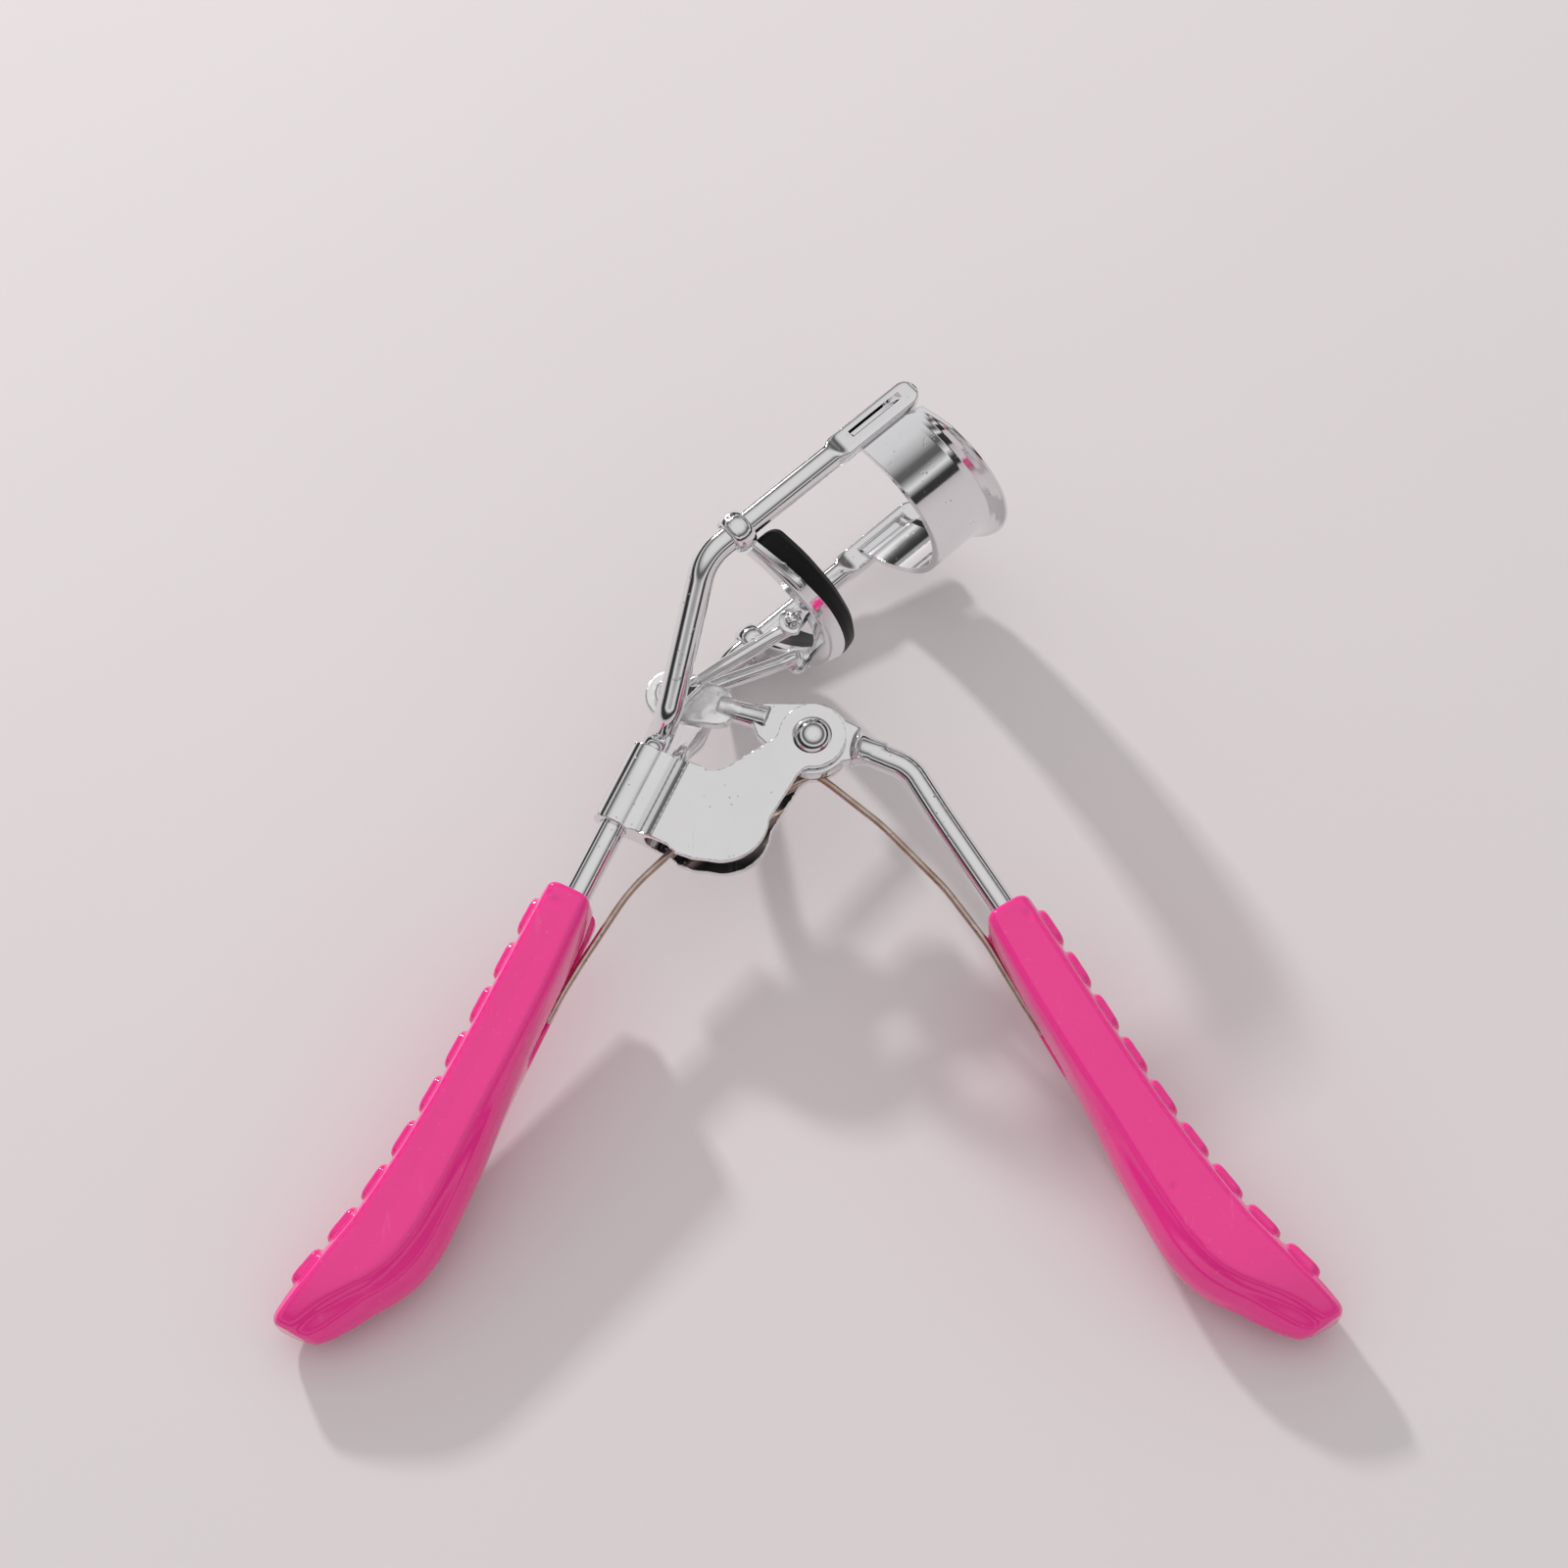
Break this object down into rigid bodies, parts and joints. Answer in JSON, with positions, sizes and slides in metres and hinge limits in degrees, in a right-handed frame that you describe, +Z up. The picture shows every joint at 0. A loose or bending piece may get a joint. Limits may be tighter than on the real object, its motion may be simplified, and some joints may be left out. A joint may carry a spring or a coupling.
{
  "type": "eyelash curler",
  "caption": "Eyelash curler: squeeze handles push a padded curved lower jaw up paired rails against a fixed, flared crescent; a wire spring opens it.",
  "frame": {"origin": "centre of the bounding box, on the surface the curler lies on", "axes": "+Z up from the surface it lies on; +Y toward the head (jaw and crescent), -Y toward the handle toes; +X toward the side the lever's handle and the bow are on. Handles open."},
  "size_m": [0.1046, 0.0976, 0.0334],
  "materials": {
    "polished_metal": "bright polished plating",
    "lever_metal": "polished plating, frosted on the flat paddle",
    "pink_plastic": "glossy moulded plastic",
    "black_rubber": "smooth satin rubber",
    "spring_steel": "drawn wire, slightly warm tint"
  },
  "bodies": {
    "frame": {"left_handle": "pink_plastic", "frame_rod": "polished_metal", "far_rail": "polished_metal", "hinge_bracket": "polished_metal", "main_rivet": "polished_metal", "upper_crescent": "polished_metal", "spring_coil": "spring_steel"},
    "lever": {"right_handle": "pink_plastic", "lever": "lever_metal", "spring_lever_leg": "spring_steel"},
    "lower_jaw": {"jaw_channel": "polished_metal", "near_guide_loop": "polished_metal", "far_guide_loop": "polished_metal", "jaw_pad": "black_rubber"},
    "push_link": {"near_push_rod": "polished_metal", "far_push_rod": "polished_metal", "link_rivet": "polished_metal"}
  },
  "joints": [
    {"name": "lever_hinge", "type": "hinge", "parent": "frame", "child": "lever", "pos_m": [0.00098, 0.0127, 0.01333], "axis": [0.0017, 0.1583, -0.9874], "range_deg": [0, 44.73], "stiffness_Nm_per_rad": 0.3, "springref_deg": -20.05, "deforming": ["spring_lever_leg", "spring_coil"]},
    {"name": "jaw_slide", "type": "slide", "parent": "frame", "child": "lower_jaw", "axis": [0.7545, 0.6478, 0.1052], "range_m": [0, 0.01128]},
    {"name": "link_hinge", "type": "hinge", "parent": "lower_jaw", "child": "push_link", "pos_m": [-0.00082, 0.02421, 0.01517], "axis": [0.0017, 0.1583, -0.9874], "range_deg": [0, 10.03]}
  ],
  "couplings": [
    {"joint": "jaw_slide", "follows": "lever_hinge", "m_per_rad": 0.01445},
    {"joint": "link_hinge", "follows": "lever_hinge", "ratio": 0.22403}
  ]
}
